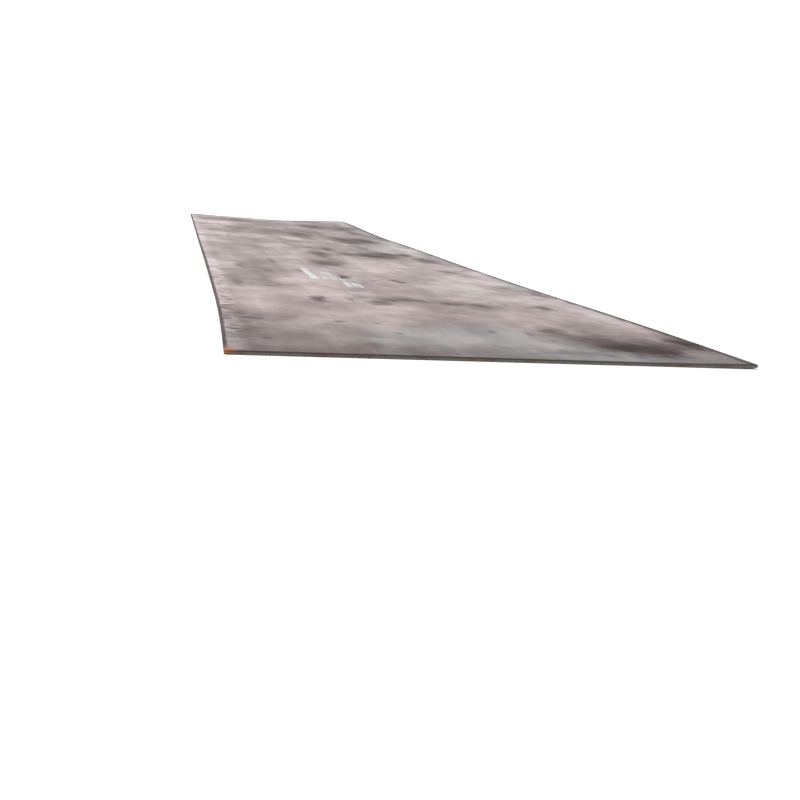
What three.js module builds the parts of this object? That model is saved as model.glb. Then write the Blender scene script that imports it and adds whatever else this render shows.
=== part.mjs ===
// Hot-rolled steel plate, one piece of stock: rolled long sides, sheared ends.
// Millimetres, +Z up, +Y along the rolling direction. The plate lies on its underside at z = 0,
// with the middle of its outline above the origin.

import * as THREE from 'three';
import { mergeVertices } from 'three/addons/utils/BufferGeometryUtils.js';

// Size of the stock
const width = 2000;
const length = 8000;
const thickness = 14;

// Long sides: the rounded edge that rolling leaves
const rolledEdgeDepth = 5;       // how far mid-thickness stands out past the two arrises

// Ends, as a shear leaves them: a drawn arris, a flat burnished band and a break that leans out.
// The shear lets go of one plate's tail from above and of the next one's head from below, so the
// drawn arris is on top at the near end and underneath at the far end.
const drawnArrisDepth = 2;       // height of the drawn arris on the end face
const drawnArrisReach = 6;       // how far in along the plate's face it starts
const burnishedDepth = 5;        // height of the flat band next to it
const breakLean = 0.7;           // how far the break stands out past the band at the other arris

// Left side at the near end: the strip spread here while its end was rolled
const flareOut = 25;             // extra width at the very end
const flareAlong = 1400;         // how far along the side the flare reaches

// Low waves along the sides: place of the crest from the near end, distance from the crest to
// either foot, and height
const nearWaveCrest = 700;       // right side
const nearWaveFoot = 1650;
const nearWaveHeight = 9;
const leftWaveCrest = 2600;      // left side
const leftWaveFoot = 1400;
const leftWaveHeight = 7;
const middleWaveCrest = 5000;    // right side
const middleWaveFoot = 2300;
const middleWaveHeight = 11;
const waveReach = 550;           // how far into the plate a wave has died out

// Far right corner, bent up along a diagonal line in handling
const cornerRise = 50;
const cornerAlong = 2600;        // length of the bent flap along the right side
const cornerAcross = 1000;       // length of the bent flap along the far end

// Facets, small enough for the waves to read as smooth
const facetAcross = 100;
const facetAlong = 145;
const facetsThrough = 8;

const nearEnd = -length / 2;
const farEnd = length / 2;
const rightSide = width / 2;
const LEFT = -1;
const RIGHT = 1;

const waves = [
  { side: RIGHT, crest: nearEnd + nearWaveCrest, foot: nearWaveFoot, height: nearWaveHeight },
  { side: LEFT, crest: nearEnd + leftWaveCrest, foot: leftWaveFoot, height: leftWaveHeight },
  { side: RIGHT, crest: nearEnd + middleWaveCrest, foot: middleWaveFoot, height: middleWaveHeight },
];

// Levels through the thickness lie closer together near the two faces, where the arrises are.
function levelAt(fraction) {
  return (thickness / 2) * (1 - Math.cos(Math.PI * fraction));
}

// A quarter of an ellipse: 0 where it leaves the flat, 1 where it meets the face it runs into.
function quarterEllipse(into) {
  return 1 - Math.sqrt(Math.max(0, 1 - THREE.MathUtils.clamp(into, 0, 1) ** 2));
}

// Rolled side: half an ellipse through the thickness, drawn in at both faces.
function rolledSideInset(z) {
  return rolledEdgeDepth * quarterEllipse(Math.abs((2 * z) / thickness - 1));
}

// Sheared end, counted down from the face whose arris is drawn in: arris, band, break.
function shearedEndInset(depth) {
  const breakFrom = drawnArrisDepth + burnishedDepth;
  const drawnIn = drawnArrisReach * quarterEllipse((drawnArrisDepth - depth) / drawnArrisDepth);
  const leansOut = breakLean * Math.max(0, (depth - breakFrom) / (thickness - breakFrom));
  return drawnIn - leansOut;
}

// The flare grows as the square of the distance into it, and fades out at the middle line.
function flareShift(x, y) {
  const into = THREE.MathUtils.clamp((nearEnd + flareAlong - y) / flareAlong, 0, 1);
  const towardsLeft = Math.max(0, (LEFT * x) / rightSide);
  return LEFT * flareOut * into ** 2 * towardsLeft;
}

// One hump of a cosine squared along the side, falling off as a square away from it.
function waveLift({ side, crest, foot, height }, x, y) {
  const fromCrest = Math.min(1, Math.abs(y - crest) / foot);
  const fromSide = Math.min(1, Math.max(0, rightSide - side * x) / waveReach);
  return height * Math.cos((Math.PI / 2) * fromCrest) ** 2 * (1 - fromSide) ** 2;
}

// Past the diagonal bend line the corner eases up, and it levels out again at its tip.
function cornerLift(x, y) {
  const along = (y - (farEnd - cornerAlong)) / cornerAlong;
  const across = (x - (rightSide - cornerAcross)) / cornerAcross;
  return cornerRise * THREE.MathUtils.smoothstep(along + across - 1, 0, 1);
}

// The plate keeps its thickness everywhere, so both faces are lifted alike.
function lift(x, y) {
  return waves.reduce((sum, wave) => sum + waveLift(wave, x, y), cornerLift(x, y));
}

// A divided box gives the grid. Its rim is drawn in to the profiles of the sides and ends, and
// the whole is then spread at the flare and lifted at the waves and the bent corner.
function plateGeometry() {
  const across = Math.round(width / facetAcross);
  const along = Math.round(length / facetAlong);
  const box = new THREE.BoxGeometry(width, length, thickness, across, along, facetsThrough);
  box.deleteAttribute('normal');
  box.deleteAttribute('uv');
  const plate = mergeVertices(box);
  const position = plate.getAttribute('position');
  const rim = 1e-3;
  for (let i = 0; i < position.count; i += 1) {
    const gridX = position.getX(i);
    const gridY = position.getY(i);
    const z = levelAt(position.getZ(i) / thickness + 0.5);
    let x = gridX;
    let y = gridY;
    if (rightSide - Math.abs(gridX) < rim) x -= Math.sign(gridX) * rolledSideInset(z);
    if (gridY - nearEnd < rim) y += shearedEndInset(thickness - z);
    if (farEnd - gridY < rim) y -= shearedEndInset(z);
    position.setXYZ(i, x + flareShift(x, y), y, z + lift(x, y));
  }
  plate.translate(flareOut / 2, 0, 0);
  plate.computeVertexNormals();
  return plate;
}

const millScale = new THREE.MeshStandardMaterial({
  name: 'mill_scale',
  color: 0x8f8583,
  roughness: 0.42,
  metalness: 0.85,
  flatShading: true,
});

const steelPlate = new THREE.Mesh(plateGeometry(), millScale);
steelPlate.name = 'steel_plate';

const part = new THREE.Group();
part.name = 'hot_rolled_steel_plate';
part.add(steelPlate);

export default part;
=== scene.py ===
"""Hot-rolled steel plate: the looks of one plate of stock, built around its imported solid.

Everything is in metres, in the frame of the solid: +Y along the rolling direction, +Z up, the
plate lying on z = 0 with its drawn-arris end towards -Y.
"""

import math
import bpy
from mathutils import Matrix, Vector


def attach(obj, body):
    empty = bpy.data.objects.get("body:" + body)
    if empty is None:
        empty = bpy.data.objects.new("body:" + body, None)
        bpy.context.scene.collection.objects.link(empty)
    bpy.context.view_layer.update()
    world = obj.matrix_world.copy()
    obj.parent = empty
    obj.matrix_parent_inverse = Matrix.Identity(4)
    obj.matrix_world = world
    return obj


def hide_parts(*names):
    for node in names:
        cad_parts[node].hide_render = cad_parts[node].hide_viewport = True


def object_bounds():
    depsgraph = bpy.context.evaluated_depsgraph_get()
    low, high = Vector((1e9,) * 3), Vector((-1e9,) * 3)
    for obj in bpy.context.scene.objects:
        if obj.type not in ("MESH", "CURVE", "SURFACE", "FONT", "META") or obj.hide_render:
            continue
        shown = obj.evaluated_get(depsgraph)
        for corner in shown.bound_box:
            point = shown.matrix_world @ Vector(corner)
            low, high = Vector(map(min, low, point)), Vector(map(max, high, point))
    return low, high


bl_info = {
    "name": "Hot-Rolled Steel Plate",
    "version": (1, 0, 0),
    "blender": (4, 5, 0),
    "location": "3D View > Sidebar > Steel Plate",
    "description": "Adds a hot-rolled steel plate with its mill scale, sheared ends and studio",
    "category": "Add Mesh",
}

import bpy
import numpy as np
from bpy.props import FloatProperty, FloatVectorProperty, PointerProperty
from bpy.types import Operator, Panel, PropertyGroup
from mathutils import Euler, Matrix

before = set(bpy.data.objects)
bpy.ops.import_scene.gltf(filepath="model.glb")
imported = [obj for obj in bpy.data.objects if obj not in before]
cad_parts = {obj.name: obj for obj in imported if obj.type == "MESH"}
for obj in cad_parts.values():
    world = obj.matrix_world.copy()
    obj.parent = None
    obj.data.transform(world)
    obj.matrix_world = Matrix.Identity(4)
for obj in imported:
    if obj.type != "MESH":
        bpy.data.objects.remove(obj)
CAD_LOW, CAD_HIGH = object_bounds()

NODE = "steel_plate"
BODY = "root"

MM = 0.001
LEFT, RIGHT = -1.0, 1.0
BREAK_LEAN = 0.7 * MM
FLARE_OUT = 25 * MM

# Steps of the mesh. The rim is fine, because the shear's marks are, and the faces are coarser.
# Each step of a face's border meets a whole number of steps of the rim.
FACE_ACROSS = 100
FACE_ALONG = 200
RIM_PER_ACROSS = 10
RIM_PER_ALONG = 5
RIM_LEVELS = 10
RIM_TO_FACE = 15 * MM
# The inset of the ends fades out along the sides, as this power of the way from the middle
END_FADE = 40
SHARP_ANGLE = math.radians(40)

# Places of the mesh's materials
FACE_TOP, FACE_UNDER, FACE_SIDE, FACE_END = range(4)

# Sockets of Blender's Mix node when it mixes values and when it mixes colours
FACTOR, VALUE_A, VALUE_B = 0, 2, 3
COLOUR_A, COLOUR_B, COLOUR_OUT = 6, 7, 2
# Blender's Map Range node, carrying one range over to another smoothly and held at its ends
SMOOTH = {"interpolation_type": "SMOOTHSTEP"}

# The plate's own place for each point: the flat outline's x and y, and the height in the plate.
# Patterns read it, so they follow the flare and the waves.
FLAT_PLACE = "flat_place"

# Strips of the top face along its rim: how far in from the outline each is gone, and how far in
# it is full. The three rims are painted shade along the arrises, partly dull dirty scale there, and
# the right one is a wide band of painted shade; the end strip is painted shade darkening both ends.
# All but the first two are measured to a ragged distance, which noise times its share makes longer
# than the true one, on the average by half the share.
END_RIM = (9 * MM, 5 * MM)
SIDE_RIM = (16 * MM, 10 * MM)
RIGHT_RIM_SHADE = (89 * MM, 63 * MM)
LEFT_STRIP = (130 * MM, 65 * MM)
END_SHADE_STRIP = (480 * MM, 290 * MM)
RAGGED_SIDE = 70 * MM
RAGGED_END = 500 * MM

# Grain of the scale in mm across, along and through the plate. The real grain is a tenth of this
# size, and is drawn coarser so that it shows.
GRAIN = (3, 5, 3)

# Marks on the top face: middle across and along, half width and half length in metres, and
# strength from 0 to 1. Dark ones are handling, lifting and water marks.
DARK_MARKS = (
    (-0.52, -2.81, 0.08, 0.15, 1.00),
    (-0.22, -2.84, 0.10, 0.13, 0.72),
    (-0.15, -2.76, 0.12, 0.12, 0.62),
    (-0.05, -2.69, 0.16, 0.17, 0.68),
    (0.18, -2.78, 0.13, 0.09, 0.66),
    (0.30, -2.80, 0.12, 0.10, 0.76),
    (0.67, -2.79, 0.11, 0.15, 0.80),
    (0.62, -3.74, 0.34, 0.28, 1.00),
    (0.52, -3.62, 0.26, 0.20, 0.74),
    (0.40, -3.44, 0.12, 0.20, 0.80),
    (0.78, -3.70, 0.22, 0.20, 0.90),
    (0.93, -3.64, 0.13, 0.22, 1.00),
    (-0.16, -1.13, 0.20, 0.36, 0.80),
    (-0.12, -0.48, 0.15, 0.42, 0.76),
    (0.05, 0.02, 0.12, 0.42, 0.78),
    (0.11, -1.97, 0.05, 0.16, 0.80),
    (-0.06, -2.00, 0.05, 0.14, 0.34),
    (-0.22, -1.90, 0.07, 0.16, 0.86),
    (0.68, -1.24, 0.14, 0.20, 0.50),
    (0.79, -1.98, 0.12, 0.22, 0.44),
    (0.91, -2.26, 0.10, 0.24, 0.66),
    (-0.87, -2.37, 0.09, 0.28, 0.46),
    (-0.70, -2.44, 0.17, 0.12, 0.56),
    (-0.79, -1.57, 0.06, 0.24, 0.54),
    (-0.56, -1.26, 0.05, 0.34, 0.48),
    (-0.63, -1.80, 0.10, 0.30, 0.36),
    (0.36, -0.36, 0.26, 0.34, 0.90),
    (0.52, -0.14, 0.22, 0.28, 0.86),
    (0.68, -0.12, 0.14, 0.21, 0.90),
    (0.12, -0.33, 0.13, 0.24, 0.68),
    (0.76, -0.44, 0.16, 0.36, 0.66),
    (-0.16, 0.60, 0.14, 0.26, 0.56),
    (0.42, 0.45, 0.15, 0.50, 0.62),
    (0.44, 1.06, 0.28, 0.74, 0.74),
    (0.64, 1.28, 0.24, 0.56, 0.76),
    (0.03, 1.34, 0.21, 0.86, 0.62),
    (-0.24, 1.88, 0.30, 0.66, 0.50),
    (0.00, 2.20, 0.18, 0.44, 0.46),
    (-0.56, 1.95, 0.40, 0.60, 0.44),
    (0.42, 3.05, 0.36, 0.60, 0.66),
    (0.74, 2.92, 0.34, 0.54, 0.50),
    (0.78, 2.22, 0.22, 0.46, 0.66),
    (0.28, -3.87, 0.30, 0.10, 0.56),
    (0.90, 1.40, 0.12, 0.34, 0.52),
    (0.30, 2.40, 0.30, 0.60, 0.28),
    (-0.35, 3.30, 0.60, 0.50, 0.36),
)
# Where oil or water has soaked into the scale and dried, nearly black
OIL_MARKS = (
    (0.60, -3.75, 0.26, 0.20, 1.00),
    (0.68, -3.82, 0.24, 0.14, 0.96),
    (0.93, -3.66, 0.13, 0.20, 1.00),
    (0.44, -3.54, 0.08, 0.10, 0.40),
)
# Broad dull areas round them
DULL_MARKS = (
    (-0.84, -3.80, 0.70, 0.60, 0.95),
    (-0.46, -3.36, 0.32, 0.24, 0.55),
    (-0.25, -3.96, 0.90, 0.24, 0.90),
    (0.70, -3.66, 0.60, 0.50, 0.90),
    (0.66, -3.30, 0.26, 0.32, 0.50),
    (-0.12, -2.75, 0.40, 0.36, 0.60),
    (0.30, -2.82, 0.34, 0.24, 0.52),
    (-0.04, -0.40, 0.22, 1.10, 0.75),
    (0.42, -0.24, 0.42, 0.46, 0.90),
    (0.56, 1.22, 0.52, 0.90, 0.86),
    (0.10, 1.95, 0.90, 0.90, 0.80),
    (0.36, 2.70, 0.80, 0.60, 0.72),
    (-0.52, 2.05, 0.60, 0.70, 0.70),
    (0.52, 3.08, 0.80, 0.60, 0.80),
    (-0.74, -1.84, 0.28, 0.44, 0.24),
    (-0.40, 3.25, 1.00, 0.70, 0.80),
    (-0.70, 0.20, 0.26, 0.90, 0.34),
    (0.85, -2.20, 0.20, 0.34, 0.40),
    (0.22, 0.15, 0.34, 0.50, 0.72),
    (0.88, 1.85, 0.24, 0.75, 0.80),
    (0.54, 1.98, 0.36, 0.50, 0.75),
    (-0.57, -3.55, 0.22, 0.28, 0.80),
    (-0.52, 0.48, 0.22, 0.85, 0.60),
    (0.90, -0.12, 0.16, 0.30, 0.60),
    (-0.45, -1.15, 0.22, 0.36, 0.50),
    (0.70, -1.20, 0.30, 0.30, 0.46),
    (-0.92, -3.38, 0.30, 0.22, 0.80),
    (0.76, -0.55, 0.30, 0.40, 0.55),
)
# Smaller, sharper dark specks and scuffs, where other plates and hooks have knocked this one
SMALL_MARKS = (
    (-0.540, -3.41, 0.046, 0.044, 0.60),
    (-0.382, -3.41, 0.036, 0.040, 0.54),
    (-0.342, -3.61, 0.036, 0.050, 0.60),
    (-0.852, -3.78, 0.044, 0.060, 0.68),
    (-0.742, -3.90, 0.024, 0.030, 0.50),
    (-0.222, -3.96, 0.022, 0.022, 0.60),
    (-0.962, -3.12, 0.060, 0.034, 0.80),
    (-0.940, -3.32, 0.090, 0.036, 0.76),
    (-0.895, -3.40, 0.120, 0.050, 0.68),
    (-0.842, -3.52, 0.060, 0.024, 0.50),
    (-0.910, -3.64, 0.080, 0.180, 0.60),
    (0.248, -3.52, 0.040, 0.090, 0.60),
    (0.088, -3.50, 0.035, 0.080, 0.56),
    (0.300, -3.66, 0.030, 0.070, 0.50),
    (0.488, -2.71, 0.030, 0.060, 0.66),
    (0.408, -2.68, 0.030, 0.060, 0.56),
    (-0.352, -2.80, 0.030, 0.100, 0.56),
    (-0.120, -3.40, 0.050, 0.040, 0.46),
)
# Where the left side is scuffed by the plates and chains that have slid against it
SCUFFED = (
    (-0.975, -2.30, 0.050, 0.60, 0.60),
    (-0.970, -2.95, 0.060, 0.40, 0.85),
    (-0.965, -3.30, 0.100, 0.34, 1.00),
    (-0.930, -3.62, 0.120, 0.30, 0.90),
)
# Light places, lighter in colour and less rough than the scale round them
LIGHT_MARKS = (
    (0.64, 0.34, 0.34, 0.80, 1.00),
    (0.78, 0.26, 0.34, 0.52, 1.00),
    (0.80, 0.80, 0.24, 0.80, 0.52),
    (0.90, -1.82, 0.36, 0.76, 1.00),
    (0.70, -1.62, 0.34, 0.40, 0.60),
    (0.61, -2.16, 0.20, 0.50, 0.90),
    (0.14, -1.68, 0.28, 0.62, 0.92),
    (0.22, -1.36, 0.34, 0.30, 0.66),
    (0.64, -2.46, 0.34, 0.34, 1.00),
    (0.30, -2.42, 0.30, 0.34, 0.30),
    (-0.95, -0.80, 0.12, 2.60, 0.20),
    (-0.93, 1.20, 0.16, 1.60, 0.54),
    (-0.950, -2.20, 0.095, 1.20, 1.00),
    (-0.14, 0.95, 0.20, 0.34, 0.85),
    (0.09, -0.78, 0.24, 0.46, 1.00),
    (0.30, -1.05, 0.30, 0.40, 0.35),
    (-0.58, -2.22, 0.24, 0.44, 0.76),
    (-0.46, -2.44, 0.26, 0.44, 0.95),
    (-0.40, -2.60, 0.50, 0.26, 0.80),
    (-0.80, -2.62, 0.30, 0.56, 1.00),
    (-0.80, -2.12, 0.18, 0.24, 0.72),
    (0.34, -2.62, 0.32, 0.20, 1.00),
    (-0.78, -3.06, 0.34, 0.34, 0.95),
    (-0.44, -3.80, 0.12, 0.20, 0.80),
    (-0.24, -1.55, 0.50, 0.34, 0.72),
    (-0.42, -0.50, 0.30, 0.90, 0.36),
    (-0.70, -0.30, 0.24, 0.44, 0.62),
    (-0.76, 0.90, 0.18, 0.60, 0.62),
    (0.90, -1.28, 0.16, 0.50, 0.80),
    (0.90, -3.12, 0.12, 0.40, 0.80),
    (0.08, -3.20, 0.36, 0.28, 0.60),
    (-0.72, 2.40, 0.34, 1.20, 0.60),
)
# Blue-grey places, near the drawn-arris end and along the right side
BLUE_MARKS = (
    (0.08, -3.62, 0.54, 0.38, 0.95),
    (-0.26, -3.68, 0.42, 0.34, 0.85),
    (0.35, -3.92, 1.10, 0.18, 0.95),
    (0.38, -3.82, 0.40, 0.18, 0.85),
    (-0.44, -3.96, 0.10, 0.24, 0.70),
    (-0.98, -3.76, 0.06, 0.26, 0.90),
    (0.90, -1.90, 0.20, 0.60, 0.70),
    (0.92, -2.90, 0.13, 0.60, 0.60),
    (0.66, 0.50, 0.26, 0.70, 0.75),
    (0.93, -0.30, 0.12, 1.50, 0.70),
    (0.82, 0.80, 0.22, 1.00, 0.80),
    (0.40, -0.20, 0.40, 0.40, 0.60),
    (0.98, 2.40, 0.24, 1.80, 1.00),
    (0.50, -2.20, 0.55, 1.30, 0.40),
)
# Yellowish haze of the first rust
HAZE_MARKS = (
    (-0.472, -2.46, 0.18, 0.36, 0.80),
    (0.138, -1.10, 0.16, 0.34, 0.80),
    (0.318, -0.98, 0.14, 0.30, 0.70),
    (-0.812, -3.20, 0.20, 0.24, 0.60),
    (-0.312, -1.30, 0.20, 0.30, 0.50),
)
# Orange rust at the rim
RUST_MARKS = (
    (-0.990, -3.985, 0.056, 0.090, 1.00),
    (-0.930, -4.01, 0.060, 0.020, 0.44),
    (-0.30, -4.01, 0.050, 0.014, 0.54),
    (0.16, -4.01, 0.040, 0.014, 0.52),
    (0.71, -4.01, 0.040, 0.014, 0.54),
)
# Worn white marking paint, with nothing to be read in it: middle, half width, half length and how
# much of the paint is left
PAINT_STROKES = (
    (-0.402, -1.80, 0.026, 0.31, 0.82),
    (-0.305, -1.87, 0.072, 0.21, 0.57),
    (-0.205, -2.06, 0.064, 0.10, 0.40),
    (-0.227, -2.24, 0.056, 0.11, 0.60),
)


def linear(hex_colour):
    """An sRGB colour such as "b0a29f", turned to the linear values that shaders read."""
    parts = np.array([int(hex_colour[i:i + 2], 16) for i in (0, 2, 4)]) / 255
    low = parts / 12.92
    high = ((parts + 0.055) / 1.055) ** 2.4
    return tuple(float(v) for v in np.where(parts <= 0.04045, low, high))


def swatch(name, description, hex_colour):
    """A colour that the panel shows, with its default given in sRGB."""
    return FloatVectorProperty(
        name=name, description=description, subtype="COLOR", size=3, min=0, max=1,
        default=linear(hex_colour))


def size(name, description, default):
    """A length that the panel shows, in metres."""
    return FloatProperty(name=name, description=description, default=default, unit="LENGTH",
                         precision=4)


class PlateShape(PropertyGroup):
    """Sizes of the plate, as the solid has them."""

    width: size("Width", "Rolled width away from the flare", CAD_HIGH.x - CAD_LOW.x - FLARE_OUT)
    length: size("Length", "Length between the burnished bands of the two ends",
                 CAD_HIGH.y - CAD_LOW.y - 2 * BREAK_LEAN)
    thickness: size("Thickness", "Gauge of the plate", 14 * MM)
    rolled_edge: size("Rolled edge", "How far mid-thickness stands out past the arrises", 5 * MM)
    arris_depth: size("Arris depth", "Height of the drawn arris on an end face", 2 * MM)
    arris_reach: size("Arris reach", "How far in along the face the drawn arris starts", 6 * MM)
    burnished: size("Burnished band", "Height of the flat band below the drawn arris", 5 * MM)
    break_lean: size("Break lean", "How far the break stands out past the band", BREAK_LEAN)
    flare_out: size("Flare", "Extra width at the near left corner", FLARE_OUT)
    flare_along: size("Flare length", "How far along the left side the flare reaches", 1.4)
    near_wave: FloatVectorProperty(
        name="Near wave", description="Right side: crest from the near end, foot, height",
        size=3, unit="LENGTH", default=(0.70, 1.65, 0.009))
    left_wave: FloatVectorProperty(
        name="Left wave", description="Left side: crest from the near end, foot, height",
        size=3, unit="LENGTH", default=(2.60, 1.40, 0.007))
    middle_wave: FloatVectorProperty(
        name="Middle wave", description="Right side: crest from the near end, foot, height",
        size=3, unit="LENGTH", default=(5.00, 2.30, 0.011))
    wave_reach: size("Wave reach", "How far into the plate a wave has died out", 0.55)
    corner_rise: size("Corner rise", "Height of the bent far right corner", 0.05)
    corner_along: size("Corner along", "Length of the bent flap along the right side", 2.6)
    corner_across: size("Corner across", "Length of the bent flap along the far end", 1.0)
    ripple: size("Ripple", "Depth of the leveller's ripple in the two faces", 0.25 * MM)
    ripple_pitch: size("Ripple pitch", "Distance between the leveller's ripples", 0.42)
    shear_lines: size("Shear lines", "Depth of the marks down the burnished band", 0.2 * MM)
    break_grain: size("Break grain", "Depth of the torn grain of the break", 0.5 * MM)
    side_grain: size("Side grain", "Unevenness of the rolled sides", 0.8 * MM)


class PlateFinish(PropertyGroup):
    """Colours of the plate's surfaces."""

    scale_light: swatch("Light scale", "Smooth, clean mill scale", "9a9290")
    scale_dark: swatch("Dark scale", "Duller mill scale between the light places", "7b7170")
    scale_dull: swatch("Dull scale", "Broad dull areas", "665a5a")
    scale_blue: swatch("Blue scale", "Thin blue-grey scale near a cut end", "818485")
    haze: swatch("Haze", "First yellowish haze of rust on the scale", "8f8366")
    # Also the colour of the painted shade along the top face's arrises.
    mark: swatch("Mark", "Dark handling and water marks", "4b3e3d")
    oil: swatch("Oil", "Soaked and dried oil", "372b2b")
    glance: swatch("Glance", "Tint of the scale seen at a low angle", "fff2f1")
    glance_blue: swatch("Blue glance", "Tint of the blue scale seen at a low angle", "f7f6f4")
    # Also the colour of the painted shade on a sheared end's drawn arris.
    edge: swatch("Edge", "Dark scale and dirt on the rim", "3f3b38")
    end_steel: swatch("End steel", "Dulled steel of a sheared end", "55514d")
    steel: swatch("Bare steel", "Steel bared by the shear or a scratch", "8d8a86")
    rust: swatch("Rust", "Fresh orange rust", "a06a42")
    rust_dark: swatch("Old rust", "Older brown rust", "5a3a28")
    paint: swatch("Paint", "Worn white marking paint", "cdd0ce")


class PlateStudio(PropertyGroup):
    """The camera, the light and the floor."""

    camera_place: FloatVectorProperty(
        name="Camera", description="Place of the camera", size=3, unit="LENGTH",
        default=(-1.158, -6.378, 0.543))
    heading: FloatProperty(
        name="Heading", description="Turn of the view to the right of the rolling direction",
        subtype="ANGLE", default=math.radians(17.17))
    dip: FloatProperty(
        name="Dip", description="How far the view looks down", subtype="ANGLE",
        default=math.radians(15.37))
    roll: FloatProperty(
        name="Roll", description="Turn of the camera about its own view", subtype="ANGLE",
        default=math.radians(5.38))
    lens: FloatProperty(
        name="Lens", description="Focal length on a sensor 36 mm wide", subtype="DISTANCE_CAMERA",
        default=34.2)
    floor: swatch("Floor", "Plain pale floor", "faf9f8")
    sky: swatch("Sky", "Soft light from all round", "ffffff")
    sky_strength: FloatProperty(name="Sky strength", description="Light from the horizon",
                                default=1.18)
    key_strength: FloatProperty(name="Key", description="Strength of the large soft light",
                                default=1.9)


def eased(x):
    """0 below 0, 1 above 1 and the smooth step 3x^2 - 2x^3 between them."""
    x = np.clip(x, 0, 1)
    return x * x * (3 - 2 * x)


def lattice_noise(u, v, seed):
    """Smooth noise from 0 to 1: random values on a unit lattice, eased from corner to corner."""
    cells = 256
    table = np.random.default_rng(seed).random((cells, cells))
    column, row = np.floor(u).astype(int), np.floor(v).astype(int)
    ease_u, ease_v = eased(u - column), eased(v - row)
    corner = [[table[(column + i) % cells, (row + j) % cells] for j in (0, 1)] for i in (0, 1)]
    near = corner[0][0] * (1 - ease_u) + corner[1][0] * ease_u
    far = corner[0][1] * (1 - ease_u) + corner[1][1] * ease_u
    return near * (1 - ease_v) + far * ease_v


def quarter_ellipse(into):
    """1 - sqrt(1 - into^2): 0 where the curve leaves the flat, 1 where it meets the next face."""
    return 1 - np.sqrt(1 - np.clip(into, 0, 1) ** 2)


def rolled_side_inset(shape, z):
    """Half an ellipse through the thickness: 0 at mid-thickness, the full depth at both faces."""
    return shape.rolled_edge * quarter_ellipse(np.abs(2 * z / shape.thickness - 1))


def sheared_end_inset(shape, depth):
    """Counted down from the drawn arris: a quarter ellipse, a flat band, a break leaning out."""
    break_from = shape.arris_depth + shape.burnished
    drawn_in = quarter_ellipse((shape.arris_depth - depth) / shape.arris_depth)
    leans_out = np.maximum(0, (depth - break_from) / (shape.thickness - break_from))
    return shape.arris_reach * drawn_in - shape.break_lean * leans_out


def wave_lift(shape, side, wave, x, y):
    """Height times cosine squared along the side, times the square of the fall-off away from it."""
    crest, foot, height = wave
    from_crest = np.minimum(1, np.abs(y + shape.length / 2 - crest) / foot)
    from_side = np.clip((shape.width / 2 - side * x) / shape.wave_reach, 0, 1)
    return height * np.cos(np.pi / 2 * from_crest) ** 2 * (1 - from_side) ** 2


def lift(shape, x, y):
    """Height of the plate off the floor: three waves, and a corner eased up past a diagonal."""
    along = (y - shape.length / 2) / shape.corner_along + 1
    across = (x - shape.width / 2) / shape.corner_across + 1
    corner = shape.corner_rise * eased(along + across - 1)
    waves = ((RIGHT, shape.near_wave), (LEFT, shape.left_wave), (RIGHT, shape.middle_wave))
    return corner + sum(wave_lift(shape, side, wave, x, y) for side, wave in waves)


def flare_shift(shape, x, y):
    """Square of the distance into the flare, fading to nothing at the middle line."""
    into = np.clip((shape.flare_along - shape.length / 2 - y) / shape.flare_along, 0, 1)
    return LEFT * shape.flare_out * into ** 2 * np.maximum(0, LEFT * 2 * x / shape.width)


def placed(shape, flat):
    """Points of the plate, worked out from their places in the flat plate.

    Both faces ripple by value noise, inwards only and twice as closely across as along. The
    flare and the height off the floor are added to that.
    """
    x, y, z = flat.T
    pitch = shape.ripple_pitch
    top = shape.ripple * lattice_noise(2 * x / pitch, y / pitch, seed=3)
    under = shape.ripple * lattice_noise(2 * x / pitch, y / pitch, seed=4)
    through = z / shape.thickness
    rippled = under + (shape.thickness - top - under) * through
    shifted = x + flare_shift(shape, x, y) + shape.flare_out / 2
    return np.stack([shifted, y, rippled + lift(shape, x, y)], axis=1)


def rim_loops(shape):
    """Loops round the rim, one for each level, run anticlockwise from the near left corner.

    A level's height is half the thickness times 1 - cos, so levels crowd at the arrises. Each
    loop is the outline drawn in by the profiles of the sides and ends, and then by noise: fine
    upright lines on the burnished band, coarse grain on the break, long bulges on the sides.
    """
    end = np.linspace(-1, 1, FACE_ACROSS * RIM_PER_ACROSS, endpoint=False)
    side = np.linspace(-1, 1, FACE_ALONG * RIM_PER_ALONG, endpoint=False)
    across = np.concatenate([end, np.ones_like(side), -end, -np.ones_like(side)])[None, :]
    along = np.concatenate([-np.ones_like(end), side, np.ones_like(end), -side])[None, :]
    level = (0.5 * (1 - np.cos(np.pi * np.arange(RIM_LEVELS + 1) / RIM_LEVELS)))[:, None]
    z = level * shape.thickness
    flat_x, flat_y = across * shape.width / 2, along * shape.length / 2

    bulges = lattice_noise(flat_y / (130 * MM), z / (9 * MM), seed=11)
    nicks = lattice_noise(flat_y / (30 * MM), z / (4 * MM), seed=12) ** 3
    side_in = rolled_side_inset(shape, z) + shape.side_grain * (0.7 * bulges + 0.3 * nicks)

    lines = lattice_noise(flat_x / (4.5 * MM), z / (50 * MM), seed=13)
    torn = lattice_noise(flat_x / (12 * MM), z / (3 * MM), seed=14)
    from_arris = np.where(along < 0, shape.thickness - z, z)
    break_from = shape.arris_depth + shape.burnished * (0.8 + 0.4 * torn)
    in_break = eased((from_arris - break_from) / MM)
    end_in = (sheared_end_inset(shape, from_arris)
              + shape.shear_lines * lines + shape.break_grain * torn * in_break)

    x = across * (shape.width / 2 - side_in)
    y = flat_y - along * np.abs(along) ** END_FADE * end_in
    return np.stack(np.broadcast_arrays(x, y, z), axis=-1)


def face_grid(shape, height):
    """A grid over one face of the flat plate, which stops short of the rim by a narrow strip."""
    across = np.linspace(-1, 1, FACE_ACROSS + 1)[None, :]
    along = np.linspace(-1, 1, FACE_ALONG + 1)[:, None]
    x = across * (shape.width / 2 - shape.rolled_edge - RIM_TO_FACE)
    y = along * (shape.length / 2 - shape.arris_reach - RIM_TO_FACE)
    return np.stack(np.broadcast_arrays(x, y, height), axis=-1)


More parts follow.
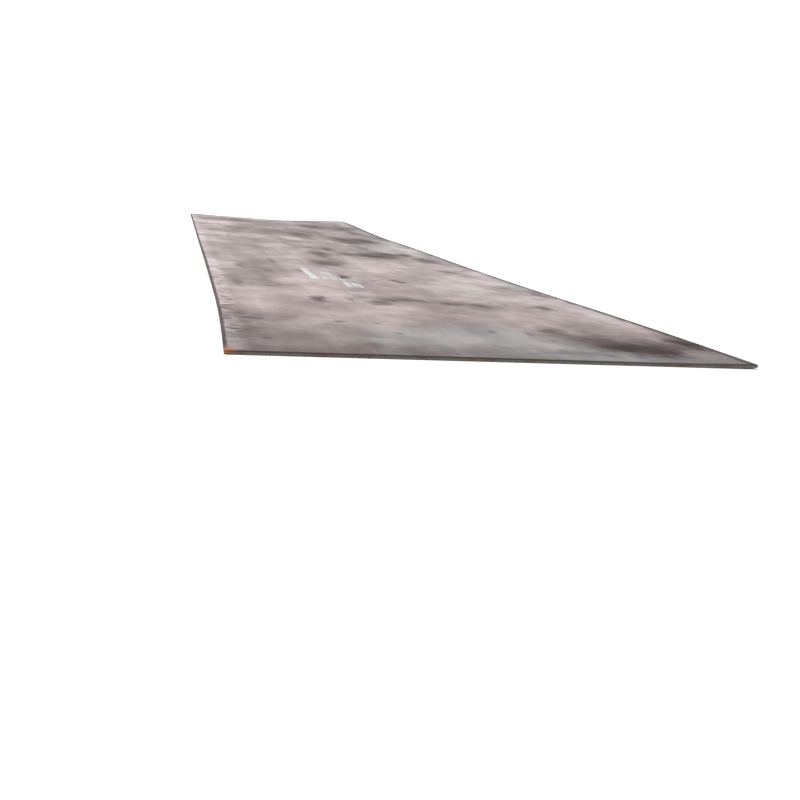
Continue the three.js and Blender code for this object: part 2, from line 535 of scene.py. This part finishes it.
def grid_quads(index):
    """Anticlockwise quads of a face's grid, whose vertex numbers index holds in rows."""
    corners = (index[:-1, :-1], index[:-1, 1:], index[1:, 1:], index[1:, :-1])
    return np.stack([c.ravel() for c in corners], axis=1)


def strip_triangles(index, rim):
    """The strip between a face's grid and the rim's loop next to it, in anticlockwise triangles.

    Each step of the grid's border fans out to the several steps of the rim that it faces: the
    first half of them meets its start, the second half its end, and one triangle joins the two.
    """
    border = np.concatenate([index[0, :-1], index[:-1, -1], index[-1, :0:-1], index[:0:-1, 0]])
    ends, sides = np.full(FACE_ACROSS, RIM_PER_ACROSS), np.full(FACE_ALONG, RIM_PER_ALONG)
    fan = np.concatenate([ends, sides, ends, sides])
    start = np.concatenate([[0], np.cumsum(fan)])[:-1]
    owner = np.repeat(np.arange(len(fan)), fan)
    outer = np.arange(len(owner))
    late = outer - start[owner] >= fan[owner] // 2
    inner = border[(owner + late) % len(border)]
    fans = np.stack([rim[outer], rim[(outer + 1) % len(rim)], inner], axis=1)
    joins = np.stack([rim[start + fan // 2], np.roll(border, -1), border], axis=1)
    return np.concatenate([fans, joins])


def plate_mesh(shape):
    """The whole closed skin: rim loops, two face grids and the strips between them."""
    parts = (rim_loops(shape), face_grid(shape, shape.thickness), face_grid(shape, 0.0))
    flat = np.concatenate([part.reshape(-1, 3) for part in parts])
    first = np.cumsum([0] + [part.shape[0] * part.shape[1] for part in parts])
    loops, top, under = (start + np.arange(part.shape[0] * part.shape[1]).reshape(part.shape[:2])
                         for start, part in zip(first, parts))

    beside = np.roll(loops, -1, axis=1)
    walls = np.stack([loops[:-1], beside[:-1], beside[1:], loops[1:]], axis=-1).reshape(-1, 4)
    round_rim = np.repeat([FACE_END, FACE_SIDE, FACE_END, FACE_SIDE],
                          [FACE_ACROSS * RIM_PER_ACROSS, FACE_ALONG * RIM_PER_ALONG] * 2)
    faces = (
        (walls, np.tile(round_rim, RIM_LEVELS)),
        (grid_quads(top), FACE_TOP),
        (grid_quads(under)[:, ::-1], FACE_UNDER),
        (strip_triangles(top, loops[-1]), FACE_TOP),
        (strip_triangles(under, loops[0])[:, ::-1], FACE_UNDER),
    )
    corners = [face for group, kind in faces for face in group.tolist()]
    kinds = np.concatenate([np.broadcast_to(kind, len(group)) for group, kind in faces])

    mesh = bpy.data.meshes.new("hot_rolled_plate")
    mesh.from_pydata(placed(shape, flat).tolist(), [], corners)
    mesh.attributes.new(FLAT_PLACE, "FLOAT_VECTOR", "POINT").data.foreach_set(
        "vector", flat.astype(np.float32).ravel())
    mesh.polygons.foreach_set("material_index", kinds.astype(np.int32))
    mesh.polygons.foreach_set("use_smooth", np.ones(len(kinds), bool))
    mesh.set_sharp_from_angle(angle=SHARP_ANGLE)
    mesh.validate()
    return mesh


def add(tree, kind, *values, out=0, inputs=None, **settings):
    """One shader node with its settings, its inputs set or linked, and the output asked for.

    Values go to the inputs in order, and those of inputs by name or number.
    """
    made = tree.nodes.new("ShaderNode" + kind)
    for name, value in settings.items():
        setattr(made, name, value)
    for place, value in [*enumerate(values), *(inputs or {}).items()]:
        if isinstance(value, bpy.types.NodeSocket):
            tree.links.new(value, made.inputs[place])
        else:
            made.inputs[place].default_value = value
    return made.outputs[out] if made.outputs else made


def new_material(name):
    """An empty node material and its tree."""
    material = bpy.data.materials.new(name)
    material.use_nodes = True
    material.node_tree.nodes.clear()
    return material, material.node_tree


def flat_place(tree):
    """Each point's place in the flat plate, in metres."""
    return add(tree, "Attribute", out="Vector", attribute_name=FLAT_PLACE)


def pattern(tree, sizes_mm, seed, detail=4.0, roughness=0.55, turn=0.0):
    """Noise whose blotches have those sizes across, along and through the plate.

    The seed moves the plate to another place in the noise.
    """
    space = add(tree, "Mapping", flat_place(tree), (seed * 7.3, seed * 3.1, seed),
                (0, 0, math.radians(turn)), tuple(1 / (mm * MM) for mm in sizes_mm))
    return add(tree, "TexNoise", out="Fac", inputs={
        "Vector": space, "Scale": 1.0, "Detail": detail, "Roughness": roughness})


def total(tree, *parts):
    """The sum of several values, each times its share."""
    whole = 0.0
    for value, share in parts:
        whole = add(tree, "Math", value, share, whole, operation="MULTIPLY_ADD")
    return whole


def highest(tree, first, *others):
    """The highest of several values at each point."""
    for value in others:
        first = add(tree, "Math", first, value, operation="MAXIMUM")
    return first


def layered(tree, ground, *layers):
    """A ground colour with others laid over it: how covered each point is, the colour, its share."""
    colour = (*ground, 1.0)
    for covered, over, share in layers:
        colour = add(tree, "Mix", out=COLOUR_OUT, data_type="RGBA", inputs={
            FACTOR: total(tree, (covered, share)), COLOUR_A: colour, COLOUR_B: (*over, 1.0)})
    return colour


def ragged_place(tree, ragged_mm, grain_mm):
    """The place in the flat plate, pushed to and fro by noise, so that outlines come out ragged."""
    here = flat_place(tree)
    wander = add(tree, "TexNoise", out="Color", inputs={
        "Vector": here, "Scale": 1 / (grain_mm * MM), "Detail": 5.0, "Roughness": 0.6})
    centred = add(tree, "VectorMath", wander, (0.5, 0.5, 0.5), operation="SUBTRACT")
    # Noise strays about a quarter to either side of its middle.
    push = add(tree, "VectorMath", centred, inputs={"Scale": 4 * ragged_mm * MM},
               operation="SCALE")
    return add(tree, "VectorMath", here, push, operation="ADD")


def marks(tree, places, ragged_mm, seed, low=0.1, high=0.9, patchy=0.55):
    """How marked each point is: soft domes that melt together, broken up by patchy noise.

    A dome is a ball's gradient. The ball of a weaker mark has its middle further under the face.
    """
    place = ragged_place(tree, ragged_mm, grain_mm=110)
    height = None
    for x, y, half_x, half_y, strength in places:
        space = add(tree, "Mapping", place, (x, y, strength - 1), (0, 0, 0), (half_x, half_y, 1),
                    vector_type="TEXTURE")
        dome = add(tree, "TexGradient", space, out="Fac", gradient_type="SPHERICAL")
        height = add(tree, "Math", height, dome, 0.15, operation="SMOOTH_MAX") if height else dome
    broken = pattern(tree, (120, 120, 120), seed=seed, detail=8, roughness=0.62)
    return add(tree, "MapRange", total(tree, (height, 1.0), (broken, patchy)),
               low + patchy / 2, high + patchy / 2, **SMOOTH)


def paint_strokes(tree):
    """Where marking paint was brushed on: straight-sided strokes, worn through in places."""
    place = ragged_place(tree, 5, grain_mm=20)
    thin = total(tree, (pattern(tree, (16, 320, 16), seed=51), 0.65),
                 (pattern(tree, (4, 60, 4), seed=52), 0.35))
    strokes = []
    for x, y, half_x, half_y, left in PAINT_STROKES:
        space = add(tree, "Mapping", place, (x, y, 0), (0, 0, 0), (half_x, half_y, 1),
                    vector_type="TEXTURE")
        axes = add(tree, "SeparateXYZ",
                   add(tree, "VectorMath", space, operation="ABSOLUTE")).node.outputs
        inside = add(tree, "MapRange", highest(tree, axes["X"], axes["Y"]), 1.0, 0.7, **SMOOTH)
        # The less paint is left, the fewer places have noise high enough to hold it.
        worn_from = 0.58 - 0.30 * left
        kept = add(tree, "MapRange", thin, worn_from, worn_from + 0.16, 0.1, 0.95, **SMOOTH)
        strokes.append(add(tree, "Math", inside, kept, operation="MULTIPLY"))
    return highest(tree, *strokes)


def scratches(tree):
    """Hairline scratches, nearly along the plate: where streaky noise crosses its middle value.

    Each layer is turned by a few degrees, and its scratches show in patches.
    """
    lines = []
    for turn, seed in ((3, 61), (-7, 62), (16, 63)):
        streaky = pattern(tree, (60, 2600, 60), seed=seed, detail=2, turn=turn)
        off_middle = add(tree, "Math", add(tree, "Math", streaky, 0.5, operation="SUBTRACT"),
                         operation="ABSOLUTE")
        line = add(tree, "MapRange", off_middle, 0.008, 0.003, **SMOOTH)
        here = add(tree, "MapRange", pattern(tree, (160, 420, 160), seed=seed + 10, detail=2),
                   0.56, 0.66, **SMOOTH)
        lines.append(add(tree, "Math", line, here, operation="MULTIPLY"))
    return highest(tree, *lines)


def sprung_flakes(tree):
    """Where flakes of scale a few millimetres wide have sprung off, in clusters."""
    flakes = add(tree, "MapRange", pattern(tree, (11, 13, 11), seed=65, detail=3),
                 0.60, 0.64, **SMOOTH)
    clusters = add(tree, "MapRange", pattern(tree, (260, 420, 260), seed=66),
                   0.50, 0.62, **SMOOTH)
    return add(tree, "Math", flakes, clusters, operation="MULTIPLY")


def inward(tree, half, axis):
    """Metres in from the rim along one axis of the flat plate."""
    place = add(tree, "SeparateXYZ", flat_place(tree), out=axis)
    return add(tree, "Math", half, add(tree, "Math", place, operation="ABSOLUTE"),
               operation="SUBTRACT")


def rim_strips(tree, shape, patches, mottle):
    """Strips along the rim of the top face: painted shade along the arrises, partly dull dirty scale
    there, light scale by the left side, and painted shade darkening both ends.
    """
    side = inward(tree, shape.width / 2, "X")
    end = inward(tree, shape.length / 2, "Y")
    across = add(tree, "SeparateXYZ", flat_place(tree), out="X")
    on_left = add(tree, "Math", across, 0.0, operation="LESS_THAN")
    on_right = add(tree, "Math", across, 0.0, operation="GREATER_THAN")
    ragged_side = total(tree, (side, 1.0), (mottle, RAGGED_SIDE))
    ragged_end = total(tree, (end, 1.0), (patches, RAGGED_END))
    # The rim is painted shade along the arrises, partly dull dirty scale on them; by the right side
    # it is a wide band of painted shade.
    right_rim_shade = add(tree, "MapRange", ragged_side, *RIGHT_RIM_SHADE, **SMOOTH)
    rim = highest(
        tree, add(tree, "MapRange", end, *END_RIM, **SMOOTH),
        add(tree, "MapRange", side, *SIDE_RIM, **SMOOTH),
        add(tree, "Math", right_rim_shade, on_right, operation="MULTIPLY"))
    left_strip = add(tree, "Math", add(tree, "MapRange", ragged_side, *LEFT_STRIP, **SMOOTH),
                     on_left, operation="MULTIPLY")
    patchy = add(tree, "MapRange", patches, 0.40, 0.60, 0.40, 1.0, **SMOOTH)
    side_strip = add(tree, "Math", left_strip, patchy, operation="MULTIPLY")
    # Painted shade: the top face darker towards both ends.
    end_shade_strip = add(tree, "MapRange", ragged_end, *END_SHADE_STRIP, **SMOOTH)
    return rim, side_strip, end_shade_strip


def mill_scale(shape, finish):
    """Mill scale: the blue-grey to brown oxide that hot rolling leaves, satin and a little glossy.

    At a low angle it mirrors softly, so its tone shows mostly in how rough it is: cloudy patches
    and bands along the rolling direction, with water and lifting marks, soaked oil, scuffs along
    the left side, hairline scratches, sprung flakes and worn marking paint over them. Painted shade
    darkens the top face along its arrises, in a wide band by the right side, and towards both ends.
    """
    material, tree = new_material("hot_rolled_mill_scale")
    clouds = pattern(tree, (420, 620, 420), seed=1, detail=5)
    patches = pattern(tree, (150, 130, 150), seed=2, detail=6)
    mottle = pattern(tree, (46, 60, 46), seed=6, detail=5)
    bands = pattern(tree, (90, 4200, 90), seed=8, detail=3)
    streaks = pattern(tree, (16, 1500, 16), seed=3, detail=3)
    flecks = pattern(tree, (9, 14, 9), seed=7, roughness=0.7)
    grain = pattern(tree, GRAIN, seed=4, detail=2)
    tone = total(tree, (clouds, 0.50), (patches, 0.15), (mottle, 0.04), (bands, 0.10),
                 (streaks, 0.03), (flecks, 0.03), (1.0, 0.075))
    light = add(tree, "MapRange", tone, 0.37, 0.62, **SMOOTH)

    rim, side_strip, end_shade_strip = rim_strips(tree, shape, patches, mottle)
    knocks = add(tree, "MapRange", pattern(tree, (60, 40, 60), seed=9, detail=5, roughness=0.6),
                 0.48, 0.62, **SMOOTH)
    # Dark marks and scuffs, with the rim's painted shade along the arrises.
    dirt_and_shade = highest(
        tree, marks(tree, DARK_MARKS, 42, seed=46, patchy=0.8),
        add(tree, "Math", marks(tree, SCUFFED, 20, seed=4), knocks, operation="MULTIPLY"),
        marks(tree, SMALL_MARKS, 14, seed=18, low=0.2, patchy=0.6), rim)
    oil = marks(tree, OIL_MARKS, 42, seed=4, patchy=0.7)
    dull = marks(tree, DULL_MARKS, 60, seed=28, high=1.0, patchy=0.8)
    clean = marks(tree, LIGHT_MARKS, 60, seed=32, high=1.0, patchy=0.8)
    blue = marks(tree, BLUE_MARKS, 60, seed=14, patchy=0.9)
    haze = marks(tree, HAZE_MARKS, 40, seed=5)
    rust = marks(tree, RUST_MARKS, 10, seed=5, patchy=0.9)
    paint = paint_strokes(tree)

    # The end strip lays painted shade over the scale, and the rim's painted shade comes in with the
    # dark marks.
    colour = layered(
        tree, finish.scale_dark, (light, finish.scale_light, 1.0),
        (dull, finish.scale_dull, 0.7), (clean, finish.scale_light, 0.85),
        (end_shade_strip, finish.scale_dull, 0.75), (blue, finish.scale_blue, 0.75),
        (haze, finish.haze, 0.35), (side_strip, finish.scale_light, 0.8),
        (highest(tree, scratches(tree), sprung_flakes(tree)), finish.steel, 0.5),
        (dirt_and_shade, finish.mark, 0.9), (oil, finish.oil, 1.0), (rust, finish.rust, 1.0),
        (paint, finish.paint, 1.0))
    glance = layered(tree, finish.glance, (blue, finish.glance_blue, 1.0))
    dullness = total(tree, (highest(tree, dirt_and_shade, rust, oil, paint), 1.0), (dull, 0.4), (blue, 0.08))
    metallic = add(tree, "Math", dullness, -0.95, 1.0, operation="MULTIPLY_ADD")
    roughness = total(tree, (light, -0.22), (dullness, 0.30), (clean, -0.11), (side_strip, -0.13),
                      (1.0, 0.46))
    bump = add(tree, "Bump", inputs={"Height": total(tree, (flecks, 0.3), (grain, 0.8)),
                                     "Strength": 0.12, "Distance": 0.2 * MM})
    surface = add(tree, "BsdfPrincipled", inputs={
        "Base Color": colour, "Metallic": metallic, "Roughness": roughness,
        "Specular IOR Level": 0.1, "Specular Tint": glance, "Normal": bump})
    add(tree, "OutputMaterial", surface)
    return material


def mill_scale_underside(finish):
    """The same scale face down: duller, with ground dust and brown rust from damp storage."""
    material, tree = new_material("hot_rolled_mill_scale_underside")
    light = add(tree, "MapRange", pattern(tree, (300, 800, 300), seed=21, detail=6),
                0.35, 0.65, **SMOOTH)
    damp = add(tree, "MapRange",
               pattern(tree, (160, 260, 160), seed=22, detail=7, roughness=0.7),
               0.52, 0.66, **SMOOTH)
    colour = layered(tree, finish.mark, (light, finish.scale_dark, 1.0),
                     (damp, finish.rust_dark, 1.0))
    bump = add(tree, "Bump", inputs={"Height": pattern(tree, GRAIN, seed=24, detail=2),
                                     "Strength": 0.3, "Distance": 0.2 * MM})
    surface = add(tree, "BsdfPrincipled", inputs={
        "Base Color": colour, "Metallic": add(tree, "MapRange", damp, 0, 1, 0.8, 0.0),
        "Roughness": add(tree, "MapRange", damp, 0, 1, 0.5, 0.85), "Specular IOR Level": 0.25,
        "Normal": bump})
    add(tree, "OutputMaterial", surface)
    return material


def rolled_side(finish):
    """As-rolled side: dark rough scale, squeezed out and rounded, with rust in its hollows."""
    material, tree = new_material("rolled_side_scale")
    blotches = add(tree, "MapRange", pattern(tree, (18, 60, 18), seed=31, detail=6),
                   0.40, 0.70, **SMOOTH)
    hollows = add(tree, "MapRange",
                  pattern(tree, (22, 90, 22), seed=32, detail=6, roughness=0.7),
                  0.56, 0.70, **SMOOTH)
    rust = marks(tree, RUST_MARKS, 10, seed=5, patchy=0.9)
    colour = layered(tree, finish.edge, (blotches, finish.scale_dark, 0.6),
                     (hollows, finish.rust_dark, 1.0), (rust, finish.rust, 1.0))
    metallic = add(tree, "MapRange", highest(tree, hollows, rust), 0, 1, 0.4, 0.0)
    bump = add(tree, "Bump", inputs={"Height": pattern(tree, (3, 9, 3), seed=33, detail=3),
                                     "Strength": 0.5, "Distance": 0.4 * MM})
    surface = add(tree, "BsdfPrincipled", inputs={
        "Base Color": colour, "Metallic": metallic, "Roughness": 0.8,
        "Specular IOR Level": 0.25, "Normal": bump})
    add(tree, "OutputMaterial", surface)
    return material


def sheared_end(shape, finish):
    """Sheared steel: the drawn arris darkened by painted shade, then bare steel in fine upright
    lines, hazed by rust.
    """
    material, tree = new_material("sheared_steel")
    lines = pattern(tree, (4, 400, 60), seed=41, detail=3)
    bright = add(tree, "MapRange", lines, 0.35, 0.70, **SMOOTH)
    haze = add(tree, "MapRange", pattern(tree, (90, 90, 40), seed=42, detail=6),
               0.45, 0.70, **SMOOTH)
    specks = add(tree, "MapRange",
                 pattern(tree, (30, 30, 15), seed=43, detail=6, roughness=0.7),
                 0.66, 0.78, **SMOOTH)
    rust = marks(tree, RUST_MARKS, 10, seed=5, patchy=0.9)
    axes = add(tree, "SeparateXYZ", flat_place(tree)).node.outputs
    far = add(tree, "Math", axes["Y"], 0.0, operation="GREATER_THAN")
    down = add(tree, "Math", shape.thickness, axes["Z"], operation="SUBTRACT")
    from_arris = add(tree, "Mix", inputs={FACTOR: far, VALUE_A: down, VALUE_B: axes["Z"]})
    # Painted shade on the drawn arris: a dark band down to 5.5 mm from it.
    arris_shade_band = add(tree, "MapRange", from_arris, 5.5 * MM, 3.5 * MM, **SMOOTH)
    half_fresh = 0.55 * finish.rust_dark + 0.45 * finish.rust
    colour = layered(
        tree, finish.end_steel, (bright, finish.steel, 0.4), (haze, finish.rust_dark, 1.0),
        (arris_shade_band, finish.edge, 1.0), (specks, finish.rust_dark, 1.0), (rust, half_fresh, 0.8))
    rusty = highest(tree, haze, rust)
    bump = add(tree, "Bump", inputs={"Height": lines, "Strength": 0.5, "Distance": 0.3 * MM})
    surface = add(tree, "BsdfPrincipled", inputs={
        "Base Color": colour, "Metallic": add(tree, "MapRange", rusty, 0, 1, 0.5, 0.0),
        "Roughness": add(tree, "MapRange", rusty, 0, 1, 0.5, 0.8), "Specular IOR Level": 0.25,
        "Normal": bump})
    add(tree, "OutputMaterial", surface)
    return material


class STEELPLATE_OT_plate(Operator):
    """Builds the plate, gives it its four finishes and puts it in the place of its solid"""

    bl_idname = "steelplate.add_plate"
    bl_label = "Add plate"

    def execute(self, context):
        shape, finish = context.scene.plate_shape, context.scene.plate_finish
        plate = bpy.data.objects.new("hot_rolled_plate", plate_mesh(shape))
        context.scene.collection.objects.link(plate)
        finishes = {FACE_TOP: mill_scale(shape, finish), FACE_UNDER: mill_scale_underside(finish),
                    FACE_SIDE: rolled_side(finish), FACE_END: sheared_end(shape, finish)}
        for kind in sorted(finishes):
            plate.data.materials.append(finishes[kind])
        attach(plate, BODY)
        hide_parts(NODE)
        return {"FINISHED"}


def add_floor(studio):
    """A wide round floor: one disc of pale matt paint, far larger than the plate."""
    radius, steps = 150.0, 96
    turn = np.linspace(0, 2 * np.pi, steps, endpoint=False)
    points = np.stack([radius * np.cos(turn), radius * np.sin(turn), np.zeros(steps)], axis=1)
    mesh = bpy.data.meshes.new("studio_floor")
    mesh.from_pydata(points.tolist(), [], [list(range(steps))])
    material, tree = new_material("matt_floor_paint")
    add(tree, "OutputMaterial", add(tree, "BsdfPrincipled", inputs={
        "Base Color": (*studio.floor, 1.0), "Roughness": 0.9, "Specular IOR Level": 0.0}))
    mesh.materials.append(material)
    floor = bpy.data.objects.new("studio_floor", mesh)
    bpy.context.scene.collection.objects.link(floor)


def add_sky(studio):
    """Soft light from all round, bright at the horizon and dimmer overhead."""
    world = bpy.data.worlds.new("studio_sky")
    world.use_nodes = True
    tree = world.node_tree
    tree.nodes.clear()
    up = add(tree, "SeparateXYZ", add(tree, "TexCoord", out="Generated"), out="Z")
    horizon_ends, overhead = 0.15, 0.5 * studio.sky_strength
    strength = add(tree, "MapRange", up, horizon_ends, 1.0, studio.sky_strength, overhead)
    light = add(tree, "Background", (*studio.sky, 1.0), strength)
    add(tree, "OutputWorld", light)
    bpy.context.scene.world = world


def add_key(studio):
    """One large soft light, high behind the plate on the left, which gives it a soft shadow.

    Glossy surfaces don't mirror it, so it leaves no glare on the scale.
    """
    light = bpy.data.lights.new("key_light", "SUN")
    light.angle = math.radians(40)
    light.energy = studio.key_strength
    key = bpy.data.objects.new("key_light", light)
    key.rotation_euler = Euler((math.radians(-20), math.radians(-18), 0.0))
    key.visible_glossy = False
    bpy.context.scene.collection.objects.link(key)


def add_camera(studio):
    """Looks along the heading, tipped down by the dip, then rolled about its own view."""
    lens = bpy.data.cameras.new("camera")
    lens.lens = studio.lens
    lens.sensor_width = 36.0
    lens.clip_end = 500.0
    camera = bpy.data.objects.new("camera", lens)
    turn = (Matrix.Rotation(-studio.heading, 4, "Z")
            @ Matrix.Rotation(math.pi / 2 - studio.dip, 4, "X")
            @ Matrix.Rotation(studio.roll, 4, "Z"))
    camera.matrix_world = Matrix.Translation(studio.camera_place) @ turn
    bpy.context.scene.collection.objects.link(camera)
    bpy.context.scene.camera = camera


class STEELPLATE_OT_stage(Operator):
    """Sets up the floor, the light and the camera"""

    bl_idname = "steelplate.set_stage"
    bl_label = "Set stage"

    def execute(self, context):
        studio = context.scene.plate_studio
        context.scene.view_settings.view_transform = "Standard"
        add_floor(studio)
        add_sky(studio)
        add_key(studio)
        add_camera(studio)
        return {"FINISHED"}


class STEELPLATE_PT_panel(Panel):
    """The plate's operators and settings"""

    bl_idname = "STEELPLATE_PT_panel"
    bl_label = "Steel Plate"
    bl_space_type = "VIEW_3D"
    bl_region_type = "UI"
    bl_category = "Steel Plate"

    def draw(self, context):
        self.layout.operator(STEELPLATE_OT_plate.bl_idname)
        self.layout.operator(STEELPLATE_OT_stage.bl_idname)
        for group in (context.scene.plate_shape, context.scene.plate_finish,
                      context.scene.plate_studio):
            box = self.layout.box()
            for name in group.__annotations__:
                box.prop(group, name)


CLASSES = (PlateShape, PlateFinish, PlateStudio, STEELPLATE_OT_plate, STEELPLATE_OT_stage,
           STEELPLATE_PT_panel)


def register():
    for cls in CLASSES:
        bpy.utils.register_class(cls)
    bpy.types.Scene.plate_shape = PointerProperty(type=PlateShape)
    bpy.types.Scene.plate_finish = PointerProperty(type=PlateFinish)
    bpy.types.Scene.plate_studio = PointerProperty(type=PlateStudio)


def unregister():
    del bpy.types.Scene.plate_studio
    del bpy.types.Scene.plate_finish
    del bpy.types.Scene.plate_shape
    for cls in reversed(CLASSES):
        bpy.utils.unregister_class(cls)


def main():
    register()
    bpy.ops.steelplate.set_stage()
    bpy.ops.steelplate.add_plate()


if __name__ == "__main__":
    main()
